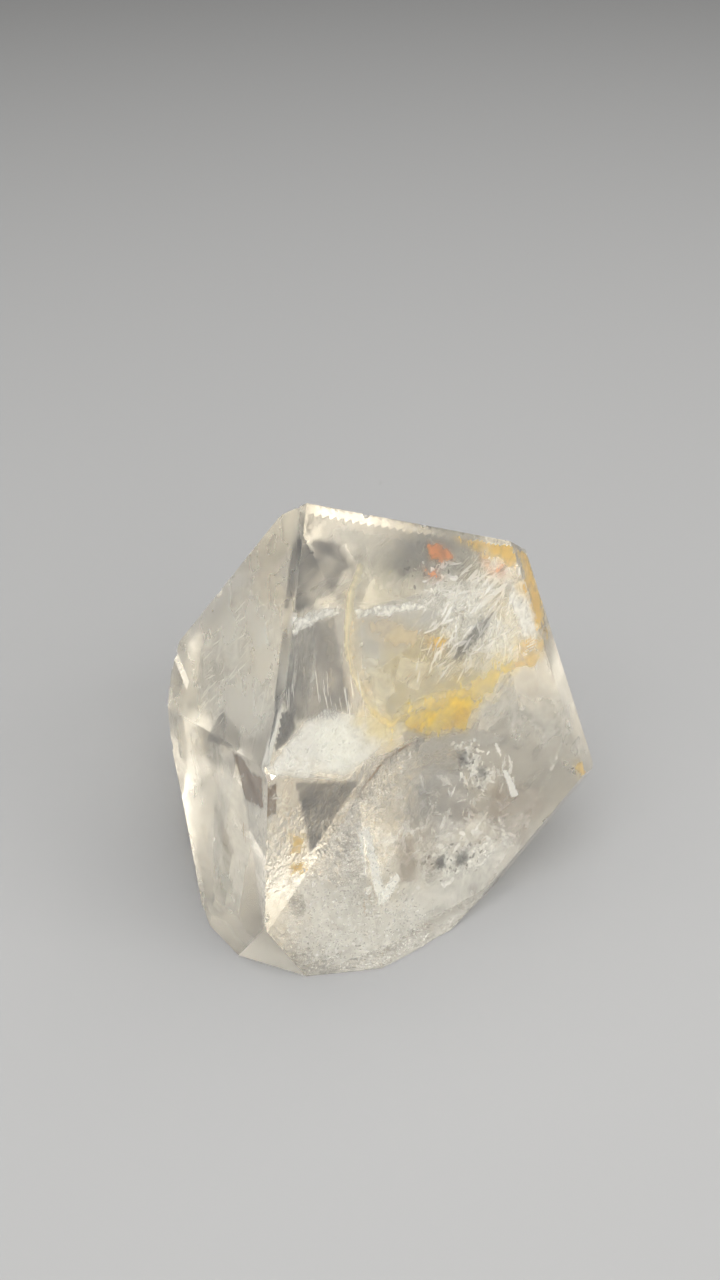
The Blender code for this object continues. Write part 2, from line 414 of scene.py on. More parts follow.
def sheet(face, outline, **settings):
    """One sheet of a piece, with the settings that add_sheet takes."""
    return {"face": face, "outline": outline, **settings}


def sheets_mesh(sheets):
    """Several sheets in one mesh, with a layer for their cover and one for their stain."""
    bm = bmesh.new()
    bm.verts.layers.float.new("cover")
    bm.verts.layers.float.new("stain")
    for settings in sheets:
        add_sheet(bm, **settings)
    return bm


def inner_piece(name, mesh):
    """A finished piece inside the crystal, which it rides on."""
    piece = bpy.data.objects.new(name, mesh)
    bpy.context.scene.collection.objects.link(piece)
    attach(piece, "root")


def veil_piece(name, material, sheets):
    """One piece made of several sheets."""
    bm = sheets_mesh(sheets)
    loose = [vert for vert in bm.verts if not vert.link_faces]
    bmesh.ops.delete(bm, geom=loose, context="VERTS")
    for face in bm.faces:
        face.smooth = True
    mesh = bpy.data.meshes.new(name)
    bm.to_mesh(mesh)
    bm.free()
    mesh.materials.append(material)
    inner_piece(name, mesh)


def veil_material(name, colour, opacity, grain, low, high, thinning=0.3, stained=None):
    """A veil: matt where its grain is dense, and clear between. grain is patches per metre, low and high
    are where the grain starts to show and is full, and thinning makes it sparse towards the edge. stained
    is its colour along the rim, where it has one."""
    material = bpy.data.materials.new(name)
    material.use_nodes = True
    nodes, links = material.node_tree.nodes, material.node_tree.links
    nodes.remove(nodes["Principled BSDF"])
    clear = nodes.new("ShaderNodeBsdfTransparent")
    matt = nodes.new("ShaderNodeBsdfDiffuse")
    glow = nodes.new("ShaderNodeBsdfTranslucent")
    both = nodes.new("ShaderNodeMixShader")
    both.inputs[0].default_value = 0.5
    links.new(matt.outputs["BSDF"], both.inputs[1])
    links.new(glow.outputs["BSDF"], both.inputs[2])
    veil = nodes.new("ShaderNodeMixShader")
    links.new(clear.outputs["BSDF"], veil.inputs[1])
    links.new(both.outputs["Shader"], veil.inputs[2])
    links.new(veil.outputs["Shader"], nodes["Material Output"].inputs["Surface"])
    place = nodes.new("ShaderNodeTexCoord")
    cloud = nodes.new("ShaderNodeTexNoise")
    cloud.inputs["Scale"].default_value = grain
    cloud.inputs["Detail"].default_value = 6.0
    cloud.inputs["Roughness"].default_value = 0.62
    cloud.inputs["Distortion"].default_value = 0.6
    links.new(place.outputs["Object"], cloud.inputs["Vector"])
    cover = nodes.new("ShaderNodeAttribute")
    cover.attribute_name = "cover"
    thinned = nodes.new("ShaderNodeMath")
    thinned.operation = "MULTIPLY_ADD"
    thinned.inputs[1].default_value = thinning
    links.new(cover.outputs["Fac"], thinned.inputs[0])
    links.new(cloud.outputs["Fac"], thinned.inputs[2])
    shown = nodes.new("ShaderNodeMapRange")
    shown.inputs["From Min"].default_value = low + thinning
    shown.inputs["From Max"].default_value = high + thinning
    shown.inputs["To Max"].default_value = opacity
    links.new(thinned.outputs["Value"], shown.inputs["Value"])
    alpha = nodes.new("ShaderNodeMath")
    alpha.operation = "MULTIPLY"
    links.new(shown.outputs["Result"], alpha.inputs[0])
    links.new(cover.outputs["Fac"], alpha.inputs[1])
    links.new(alpha.outputs["Value"], veil.inputs[0])
    stain = nodes.new("ShaderNodeAttribute")
    stain.attribute_name = "stain"
    tint = nodes.new("ShaderNodeMix")
    tint.data_type = "RGBA"
    tint.inputs["A"].default_value = (*colour, 1.0)
    tint.inputs["B"].default_value = (*(stained or colour), 1.0)
    links.new(stain.outputs["Fac"], tint.inputs["Factor"])
    links.new(tint.outputs["Result"], matt.inputs["Color"])
    links.new(tint.outputs["Result"], glow.inputs["Color"])
    return material


BOWL_RIM = (
    (-7.0, 26.6), (-9.2, 23.2), (-10.6, 17.8), (-10.5, 13.8), (-9.4, 9.2), (-7.8, 5.8), (-6.0, 4.0),
    (-3.9, 4.8), (2.6, 4.2), (9.3, 3.6), (13.7, 3.7),
)
BOWL_REST = ((16.5, 8.0), (16.5, 14.0), (13.0, 20.0), (6.0, 24.5), (-1.0, 26.4))
CRACK_VEIL = veil_material(
    "healed_crack", colour=(0.84, 0.81, 0.58), stained=(0.94, 0.84, 0.56), opacity=1.0, grain=300.0,
    low=0.10, high=0.50,
)
veil_piece("healed_crack", CRACK_VEIL, (
    sheet(ROOF, BOWL_RIM + BOWL_REST, depth=1.6, bowl=5.0, fade=0.7, cell=0.4, rim=BOWL_RIM, rim_width=0.9,
          rim_floor=0.34),
))

# The smoky zones are painted shade: thin dark sheets, a few millimetres in, that stand in for the dark
# room seen reflected in the clear quartz where no veil lies behind the polished faces: the windows left of
# the bowl, the wedge in the front wall, one low on the left and small pockets.
WALL = face_frame(27.0, -3.5, 14.8)
LEFT = face_frame(-68.4, 15.8, 21.5)
FINE = {"cell": 0.35}
TINY = {"cell": 0.2, "crumple": 0.0}
PAINTED_DARK_REFLECTION = veil_material(
    "painted_dark_reflection", colour=(0.05, 0.05, 0.055), opacity=0.95, grain=90.0, low=0.10, high=0.60, thinning=0.0,
)
veil_piece("painted_dark_reflections", PAINTED_DARK_REFLECTION, (
    sheet(ROOF, ((-14.6, 30.5), (-11.8, 31.2), (-8.1, 29.4), (-7.4, 26.6), (-10.8, 24.0), (-16.4, 23.4)),
          depth=3.0, strength=0.85, fade=0.6, **FINE),
    sheet(ROOF, ((-17.6, 21.2), (-11.0, 20.9), (-11.2, 15.5), (-11.0, 11.4), (-11.2, 8.5), (-18.7, 10.3),
                 (-20.3, 13.9)), depth=3.0, strength=0.78, fade=0.8, **FINE),
    sheet(ROOF, ((-23.5, 13.7), (-19.4, 12.0), (-19.2, 9.6), (-23.2, 7.9), (-25.3, 8.1), (-25.0, 11.3)),
          depth=2.0, strength=0.85, fade=0.5, **FINE),
    sheet(WALL, ((-18.4, 6.9), (-9.8, 3.6), (-16.3, -6.3), (-17.9, 3.8)),
          depth=1.0, strength=1.15, fade=0.25, **FINE),
    sheet(ROOF, ((-11.6, -2.4), (-2.3, -5.6), (3.5, -9.9), (1.6, -12.6), (-6.9, -10.6), (-12.0, -7.0)),
          depth=4.0, strength=0.32, fade=2.4, **FINE),
    sheet(LEFT, ((-4.6, -7.4), (-1.6, -0.6), (5.0, 0.2), (5.6, -1.7)),
          depth=1.2, strength=0.6, fade=0.4, **FINE),
    # Painted shade that dims the quartz under the point.
    sheet(ROOF, ((-14.0, 37.0), (0.0, 32.5), (12.0, 26.0), (8.0, 20.0), (-4.0, 24.0), (-12.0, 28.0)),
          depth=2.0, strength=0.62, fade=3.0),
    sheet(ROOF, ((4.6, 9.2), (6.3, 8.7), (11.6, 10.8), (12.8, 12.8), (10.0, 12.3)),
          depth=2.2, strength=0.60, fade=0.5, **FINE),
    sheet(ROOF, ((4.4, -4.4), (5.8, -4.8), (6.0, -6.4), (4.8, -6.6)),
          depth=3.7, strength=0.9, fade=0.6, **TINY),
    sheet(ROOF, ((7.6, -7.8), (9.0, -8.4), (8.8, -10.0), (7.6, -9.4)),
          depth=3.8, strength=0.8, fade=0.7, **TINY),
    sheet(ROOF, ((-1.6, -18.8), (0.4, -18.6), (0.6, -20.6), (-1.0, -20.8)),
          depth=4.5, strength=0.8, fade=0.8, **TINY),
    sheet(ROOF, ((2.4, -19.8), (4.4, -19.8), (4.8, -21.2), (2.6, -21.6)),
          depth=4.5, strength=0.75, fade=0.8, **TINY),
    sheet(BREAK_LEFT, ((-14.0, -16.9), (-12.4, -16.5), (-11.5, -17.9), (-11.8, -19.7), (-13.1, -20.2)),
          depth=1.5, strength=0.5, fade=1.0, **TINY),
))

# The grey haze is painted shade: dull grey sheets close under the faces, which darken the quartz where the
# lamps light it too brightly: below the point, right of the break's arch and down the left edge.
SIDE = face_frame(-62.8, 2.8, 21.7)
APRON = face_frame(-70.7, 9.3, 21.3)
PAINTED_SHADE_HAZE = veil_material(
    "painted_shade_haze", colour=(0.42, 0.41, 0.36), opacity=0.75, grain=220.0, low=0.00, high=0.80, thinning=0.0,
)
veil_piece("painted_shade_haze", PAINTED_SHADE_HAZE, (
    sheet(ROOF, ((-13.5, 37.0), (-2.0, 33.5), (8.0, 29.0), (15.0, 24.0), (9.0, 21.0), (0.0, 24.0),
                 (-9.0, 29.5)), depth=1.2, strength=0.75, fade=2.5),
    sheet(ROOF, ((8.0, 0.0), (16.0, 3.0), (22.0, -3.0), (26.0, -13.0), (21.0, -10.5), (14.0, -5.0)),
          depth=1.8, strength=0.45, fade=2.5),
    sheet(SIDE, ((-20.8, -7.5), (-12.9, -0.1), (-5.1, 3.1), (-1.8, 0.0), (-4.7, -10.0), (-11.3, -14.6),
                 (-16.5, -13.0)), depth=1.0, strength=0.90, fade=2.5),
    sheet(APRON, ((-13.7, -20.0), (-1.2, -9.3), (5.4, -8.1), (7.2, -15.0), (15.3, -18.2), (9.9, -26.7),
                  (2.4, -29.1), (-4.1, -26.8)), depth=1.0, strength=0.75, fade=2.5),
    sheet(LEFT, ((-24.0, -5.7), (-18.5, -0.6), (-10.5, 1.4), (-7.4, -3.0), (-11.5, -7.8), (-18.9, -12.9)),
          depth=1.0, strength=0.70, fade=2.5),
))

# Brown zones are thin films of clay and iron on healed fractures: a dark patch on the left, some inside the
# break and low on the left, and the thin line along the break's arch.
BROWN_FILM = veil_material(
    "brown_zone", colour=(0.24, 0.16, 0.10), opacity=0.75, grain=120.0, low=0.15, high=0.60, thinning=0.1,
)
veil_piece("brown_zones", BROWN_FILM, (
    sheet(SIDE, ((1.8, 1.6), (6.2, 3.4), (8.4, 3.2), (12.5, 5.4), (12.7, 0.6), (6.6, -2.8)),
          depth=0.8, strength=1.25, fade=0.4, **FINE),
    sheet(ROOF, ((-7.0, -12.2), (-4.2, -13.2), (-4.4, -20.0), (-6.9, -19.1)),
          depth=4.2, strength=0.60, fade=0.6, **FINE),
    sheet(ROOF, ((9.5, -12.0), (20.6, -17.4), (14.0, -23.5), (9.2, -19.4)),
          depth=4.5, strength=0.60, fade=2.2),
    sheet(ROOF, ((3.0, -12.4), (9.0, -12.0), (9.4, -15.6), (4.4, -16.0)), depth=4.4, strength=0.50, fade=2.0),
    sheet(ROOF, ((13.0, 1.0), (20.0, 1.0), (26.0, -13.0), (20.0, -9.0)), depth=3.4, strength=0.28, fade=4.0),
    sheet(ROOF, ((-3.0, -17.4), (-0.6, -17.4), (-0.4, -20.6), (-2.6, -20.6)),
          depth=4.4, strength=0.50, fade=1.2),
    sheet(ROOF, ((-13.4, -3.4), (-12.2, -1.7), (-8.1, 0.8), (-4.8, 1.2), (-0.9, 1.2), (-4.8, 0.9),
                 (-8.1, 0.4), (-12.0, -2.1)), depth=0.9, strength=1.2, fade=0.3, **TINY),
    sheet(APRON, ((0.1, -12.4), (3.6, -11.6), (8.9, -14.3), (7.9, -15.9), (3.2, -15.0)),
          depth=1.0, strength=0.7, fade=0.8, **FINE),
))

# Snowy veils are dense sheets of tiny bubbles, which show bright white: the streak beside the bowl, the
# right-hand corner, and short strokes under the left faces. The band beside the bowl is a painted
# reflection of the lamps, and the bars inside the break and one stroke low on the left are painted glints.
SNOW_AND_GLARE_WHITE = (0.98, 0.98, 0.93)
SNOW_AND_GLINT_VEIL = veil_material(
    "snow_and_glint_veil", colour=SNOW_AND_GLARE_WHITE, opacity=1.0, grain=900.0, low=0.28, high=0.62, thinning=0.35,
)
veil_piece("snow_and_glint_veils", SNOW_AND_GLINT_VEIL, (
    # Painted reflection of the lamps, in the band beside the bowl.
    sheet(ROOF, ((-23.6, 6.4), (-18.0, 9.8), (-14.0, 10.2), (-6.5, 5.2), (-1.5, 2.4), (-7.8, 1.8),
                 (-12.7, 0.3), (-23.6, 5.0)), depth=2.4, strength=0.55, fade=0.9, **FINE),
    sheet(ROOF, ((-18.2, 21.4), (-17.8, 22.9), (-14.0, 23.4), (-10.5, 22.6), (-10.6, 21.3), (-14.2, 21.7)),
          depth=1.4, fade=0.7, **FINE),
    sheet(ROOF, ((-8.6, 21.4), (-3.0, 20.0), (2.4, 18.2), (2.0, 17.2), (-3.4, 18.6), (-8.6, 20.1)),
          depth=1.6, fade=0.8, **FINE),
    sheet(ROOF, ((15.8, 17.2), (18.4, 15.2), (19.6, 9.6), (18.9, 5.6), (16.9, 5.6), (16.2, 9.8),
                 (15.0, 14.0)), depth=0.8, strength=1.1, fade=1.2, **FINE),
    sheet(ROOF, ((2.0, 18.5), (8.0, 19.5), (15.0, 16.0), (17.0, 6.0), (12.0, 6.5), (4.0, 10.0)),
          depth=3.2, strength=0.9, fade=5.0),
    sheet(ROOF, ((4.6, -3.0), (7.4, -4.6), (9.6, -9.0), (10.4, -12.0), (8.0, -12.0), (5.6, -8.0)),
          depth=4.2, strength=0.9, fade=1.6, **FINE),
    sheet(ROOF, ((-4.8, -17.6), (-1.6, -16.4), (2.4, -19.0), (9.9, -20.5), (8.0, -24.0), (2.0, -23.4),
                 (-2.1, -21.3)), depth=4.8, strength=0.9, fade=1.8, **FINE),
    # Painted glints: the bars and the V inside the break.
    sheet(ROOF, ((-11.7, -8.2), (-10.5, -8.8), (-9.8, -20.5), (-11.2, -20.6)),
          depth=4.4, strength=1.5, fade=0.25, **TINY),
    sheet(ROOF, ((-9.7, -9.6), (-7.1, -11.1), (-7.1, -15.9), (-9.0, -14.9)),
          depth=4.6, strength=0.6, fade=0.5, **TINY),
    sheet(ROOF, ((-10.7, -17.4), (-10.0, -18.6), (-7.5, -17.4), (-6.8, -18.6), (-10.2, -21.4),
                 (-11.6, -18.0)), depth=4.8, strength=1.5, fade=0.3, **TINY),
    sheet(ROOF, ((-0.3, -12.6), (2.8, -14.4), (2.4, -19.1), (-0.2, -18.4)),
          depth=4.6, strength=0.6, fade=1.4, **FINE),
    # Painted glint: the slim bright bar on the right of the break.
    sheet(ROOF, ((11.5, -10.0), (12.3, -10.4), (13.7, -15.1), (12.5, -14.9)),
          depth=3.2, strength=1.5, fade=0.25, **TINY),
    sheet(ROOF, ((10.2, -16.6), (11.3, -17.9), (11.8, -22.6), (10.0, -22.0)),
          depth=3.8, strength=0.8, fade=0.5, **TINY),
    # Painted glint low on the left face.
    sheet(APRON, ((5.4, -20.4), (9.0, -17.6), (10.6, -19.6), (9.4, -22.4)),
          depth=1.0, strength=1.2, fade=0.6, **FINE),
    sheet(APRON, ((12.4, -3.0), (13.0, -3.0), (15.0, -17.5), (14.2, -18.0)),
          depth=1.0, strength=1.3, fade=0.3, **TINY),
    sheet(APRON, ((10.2, -8.0), (10.6, -8.0), (12.2, -20.0), (11.4, -20.0)),
          depth=1.4, strength=0.9, fade=0.3, **TINY),
    sheet(LEFT, ((1.4, 14.6), (5.3, 16.0), (6.8, 14.4), (3.6, 12.0)), depth=0.9, fade=1.2, **FINE),
    sheet(WALL, ((-22.0, 8.0), (-18.9, 6.0), (-17.2, -6.0), (-17.4, -11.1), (-19.8, -14.4), (-23.0, -8.2)),
          depth=1.6, strength=0.55, fade=1.4, **FINE),
))

# The window veil is a painted reflection, the brightest of the white sheets, standing in for lamp light
# mirrored inside the crystal. It lies over the front wall, between the bowl and the break.
PAINTED_WINDOW_REFLECTION = veil_material(
    "painted_window_reflection", colour=SNOW_AND_GLARE_WHITE, opacity=1.0, grain=220.0, low=0.05, high=0.50, thinning=0.1,
)
veil_piece("painted_window_reflection", PAINTED_WINDOW_REFLECTION, (
    sheet(ROOF, ((-23.0, 6.4), (-18.0, 9.6), (-14.0, 9.9), (-6.8, 5.2), (-2.5, 2.6), (-7.8, 1.9),
                 (-12.7, 0.4), (-23.0, 5.2)), depth=3.0, strength=0.85, fade=0.8, **FINE),
    sheet(ROOF, ((-17.0, 8.0), (-12.0, 7.4), (-10.6, 1.0), (-15.0, 1.6)),
          depth=3.4, strength=1.2, fade=2.0, **FINE),
))

# Milky veils are thinner and deeper clouds of bubbles, under the satin faces, behind the break and along the
# hidden faces. They keep the light inside the crystal soft.
BACK_ROOF = face_frame(179.0, 47.4, 21.0)
BACK_RIGHT = face_frame(128.0, 27.0, 27.7)
BACK_LEFT = face_frame(-125.0, 36.8, 25.2)
RIGHT = face_frame(96.0, 18.2, 25.9)
TOE = face_frame(-22.0, -10.0, 28.9)
CORNER = face_frame(-78.6, -6.0, 28.0)
LEFT_FIELD = ((-14.0, 2.0), (-4.0, 16.0), (6.0, 19.0), (13.0, 14.0), (10.0, 4.0), (4.0, 0.0), (-12.0, -7.0))
MILKY_VEIL = veil_material(
    "milky_veil", colour=(0.93, 0.92, 0.87), opacity=0.9, grain=160.0, low=0.20, high=0.75, thinning=0.1,
)
veil_piece("milky_veils", MILKY_VEIL, (
    *(sheet(LEFT, LEFT_FIELD, depth=depth, strength=0.8, fade=3.0) for depth in (1.4, 4.0)),
    sheet(APRON, ((-3.0, -4.0), (6.0, -4.0), (14.0, -2.0), (14.0, -22.0), (4.0, -27.0)),
          depth=2.0, strength=0.9, fade=2.0),
    sheet(ROOF, ((-10.0, 34.0), (2.0, 29.0), (14.0, 22.0), (12.0, 14.0), (2.0, 18.0), (-6.0, 23.0)),
          depth=5.0, strength=0.7, fade=4.0),
    sheet(ROOF, ((6.0, 1.0), (14.0, 3.0), (22.0, -3.0), (26.0, -14.0), (21.5, -11.5), (15.5, -6.0),
                 (10.5, -1.5)), depth=2.5, strength=0.8, fade=4.0),
    sheet(ROOF, ((-22.0, -12.0), (-8.0, -16.0), (8.0, -16.0), (18.0, -20.0), (0.0, -34.0), (-20.0, -30.0)),
          depth=6.5, strength=0.9, fade=3.0),
    sheet(ROOF, ((-22.0, -13.0), (-10.0, -20.0), (4.0, -23.0), (12.0, -22.0), (0.0, -34.0), (-20.0, -30.0)),
          depth=9.5, strength=0.9, fade=3.0),
    sheet(BACK_ROOF, ((-14.0, -8.0), (-6.0, 6.0), (8.0, 8.0), (12.0, -4.0), (2.0, -12.0)),
          depth=4.0, strength=0.6, fade=6.0, tip=8.0),
    sheet(BACK_RIGHT, ((-10.0, -6.0), (-2.0, 8.0), (8.0, 4.0), (6.0, -10.0)),
          depth=3.0, strength=0.6, fade=5.0, lean=10.0),
    sheet(BACK_LEFT, ((-8.0, -6.0), (-4.0, 6.0), (8.0, 8.0), (8.0, -8.0)),
          depth=2.5, strength=0.6, fade=5.0, lean=-8.0),
    sheet(RIGHT, ((-6.0, -12.0), (-4.0, 6.0), (6.0, 4.0), (8.0, -12.0)),
          depth=4.0, strength=0.5, fade=5.0, tip=12.0),
    sheet(CORNER, ((-12.0, 6.0), (10.0, 8.0), (14.0, -6.0), (0.0, -16.0), (-12.0, -8.0)),
          depth=1.5, strength=0.8, fade=3.0),
    sheet(TOE, ((-9.0, 9.0), (3.0, 6.0), (9.0, -4.0), (6.0, -14.0), (-8.0, -12.0)),
          depth=1.0, strength=0.9, fade=3.0),
))

# Rust stain is iron oxide that seeped into a healed crack. It lies close under the front roof, in three small
# patches near the top right-hand corner.
RUST = veil_material("rust_stain", colour=(0.74, 0.29, 0.10), opacity=0.95, grain=500.0, low=0.05, high=0.55)
veil_piece("rust_stain", RUST, (
    sheet(ROOF, ((3.2, 25.6), (5.4, 25.0), (7.4, 22.4), (5.0, 22.3), (3.6, 23.5)),
          depth=0.9, strength=1.1, fade=0.9, **FINE),
    sheet(ROOF, ((2.4, 22.8), (4.6, 22.2), (4.8, 20.6), (3.0, 20.8)),
          depth=1.2, strength=0.8, fade=1.4, **FINE),
    sheet(ROOF, ((11.5, 20.5), (15.0, 18.7), (15.3, 16.5), (13.1, 17.5)),
          depth=0.9, strength=0.7, fade=1.6, **FINE),
))

# Amber stain is a paler film of the same iron. It colours that corner and the strip face below it, and leaves
# spots in the bowl's middle, near its right end, low on the right and in the front wall.
STRIP = face_frame(73.3, 19.0, 22.3)
AMBER = veil_material(
    "amber_stain", colour=(0.85, 0.56, 0.12), opacity=0.95, grain=300.0, low=0.05, high=0.60,
)
veil_piece("amber_stain", AMBER, (
    sheet(ROOF, ((8.0, 25.4), (16.6, 21.6), (19.0, 18.9), (17.8, 16.8), (15.0, 19.2), (12.6, 20.8),
                 (10.0, 22.9)), depth=0.6, fade=1.8, **FINE),
    sheet(ROOF, ((15.6, 17.4), (17.8, 16.8), (18.9, 12.4), (17.9, 12.6), (15.8, 15.0)),
          depth=0.6, strength=0.5, fade=1.4, **FINE),
    sheet(ROOF, ((1.4, 13.9), (3.9, 10.7), (5.4, 11.9)), depth=2.6, strength=0.9, fade=1.0, **FINE),
    sheet(ROOF, ((16.0, 7.8), (20.6, 7.0), (21.0, 4.4), (17.2, 3.4), (14.0, 4.6)),
          depth=0.8, strength=0.8, fade=1.4, **FINE),
    sheet(ROOF, ((22.6, -13.6), (25.6, -14.6), (26.4, -18.6), (24.0, -19.0)),
          depth=0.7, strength=0.8, fade=1.4, **FINE),
    sheet(STRIP, ((11.1, 17.6), (14.4, 13.2), (14.8, 8.1), (13.7, 3.8), (12.0, 1.5), (9.6, 5.1), (9.9, 10.1)),
          depth=0.5, strength=1.1, fade=2.4, **FINE),
    sheet(WALL, ((-18.8, -1.5), (-16.9, -3.1), (-17.3, -6.4), (-19.1, -4.9)), depth=1.0, fade=1.8, **FINE),
    sheet(WALL, ((-18.8, -6.5), (-17.2, -7.1), (-17.3, -9.4), (-19.1, -9.0)),
          depth=1.0, strength=1.1, fade=1.8, **FINE),
))

# Cream veils are thin warm-white films on cracks inside the bowl and under the lower left face. They carry
# hardly any iron.
CREAM_VEIL = veil_material(
    "cream_veil", colour=(0.95, 0.90, 0.74), opacity=0.85, grain=240.0, low=0.15, high=0.70,
)
veil_piece("cream_veils", CREAM_VEIL, (
    sheet(ROOF, ((-9.0, 15.5), (-5.0, 14.0), (-3.6, 8.0), (-6.5, 6.8), (-9.0, 10.5)),
          depth=2.8, strength=0.85, fade=1.8, **FINE),
    sheet(ROOF, ((-2.5, 12.8), (2.0, 9.8), (-0.5, 6.5), (-4.0, 9.5)),
          depth=3.4, strength=0.8, fade=0.5, **FINE),
    sheet(ROOF, ((3.0, 10.0), (7.0, 8.6), (12.0, 7.4), (10.0, 5.8), (2.0, 6.4)),
          depth=3.0, strength=0.6, fade=1.6, **FINE),
    sheet(APRON, ((0.0, -5.0), (4.0, -4.0), (6.0, -12.0), (4.0, -18.0), (0.0, -16.0)),
          depth=1.4, strength=0.6, fade=2.0, **FINE),
))

# Gold stain is iron at its deepest colour, in two narrow streaks where it gathered along the bottom of the
# bowl.
GOLD = veil_material("gold_stain", colour=(0.72, 0.44, 0.02), opacity=0.9, grain=400.0, low=0.10, high=0.70)
veil_piece("gold_stain", GOLD, (
    sheet(ROOF, ((1.0, 1.8), (4.4, 2.0), (7.4, 1.6), (5.2, -0.2), (2.0, 0.0)),
          depth=0.8, strength=0.75, fade=1.6, **FINE),
    sheet(ROOF, ((-4.6, 3.6), (-3.2, 3.4), (0.0, 1.8), (-2.0, 1.8)),
          depth=1.2, strength=0.5, fade=1.4, **FINE),
))

# Tan stain is a faint film of iron and clay. It spreads down the bowl's left side and middle, over its right
# part and behind the break.
TAN = veil_material("tan_stain", colour=(0.78, 0.62, 0.36), opacity=0.8, grain=120.0, low=0.05, high=0.70)
veil_piece("tan_stain", TAN, (
    sheet(ROOF, ((-7.2, 19.2), (-2.3, 17.8), (2.4, 13.0), (3.4, 11.0), (-1.1, 13.0), (-4.6, 14.1)),
          depth=3.0, strength=0.9, fade=2.4, **FINE),
    sheet(ROOF, ((-9.5, 24.0), (-8.0, 24.0), (-8.6, 17.0), (-7.4, 9.0), (-8.8, 8.0), (-10.2, 14.0)),
          depth=2.4, strength=0.7, fade=1.8, **FINE),
    sheet(ROOF, ((11.5, 15.0), (15.0, 15.5), (15.5, 12.0), (12.5, 11.0)),
          depth=2.6, strength=0.6, fade=2.4, **FINE),
    sheet(ROOF, ((-8.0, -6.0), (4.0, -8.0), (12.0, -10.0), (15.0, -16.0), (8.0, -23.0), (-8.0, -21.0),
                 (-12.0, -15.0)), depth=5.6, strength=0.34, fade=5.0),
))

# Yellow stain is limonite along the bottom of the bowl, strongest right of its middle. It fades out to the
# left and into the bowl.
YELLOW = veil_material(
    "yellow_stain", colour=(0.95, 0.70, 0.08), opacity=0.92, grain=130.0, low=0.05, high=0.62, thinning=0.1,
)
veil_piece("yellow_stain", YELLOW, (
    sheet(ROOF, ((-1.0, 3.6), (2.5, 4.0), (6.9, 4.0), (8.0, 1.8), (5.2, -0.8), (1.4, -0.2), (-0.8, 1.2)),
          depth=1.0, fade=2.4, **FINE),
    sheet(ROOF, ((-5.0, 5.0), (2.0, 5.8), (9.0, 5.6), (14.8, 6.4), (14.4, 3.6), (9.5, 1.6), (6.5, 1.2),
                 (2.0, 2.6), (-3.9, 2.6)), depth=1.5, strength=0.72, fade=3.2, **FINE),
    sheet(ROOF, ((-10.8, 7.8), (-7.8, 7.2), (-5.0, 5.2), (-2.6, 3.4), (-4.6, 1.8), (-8.0, 2.8), (-10.2, 4.6)),
          depth=1.4, strength=0.42, fade=2.6, **FINE),
    sheet(ROOF, ((-9.0, 10.0), (-2.0, 16.0), (6.0, 12.0), (10.0, 6.0), (-4.0, 5.0)),
          depth=4.6, strength=0.30, fade=4.0),
))

# Feathery plates are thin crystal flakes on healed cracks, behind the right half of the bowl. They fan out
# from its upper right. Geometry Nodes scatter them over sheets of their own, and make the other flakes too.
OVAL_SIDES, OVAL_RADIUS = 8, 0.5


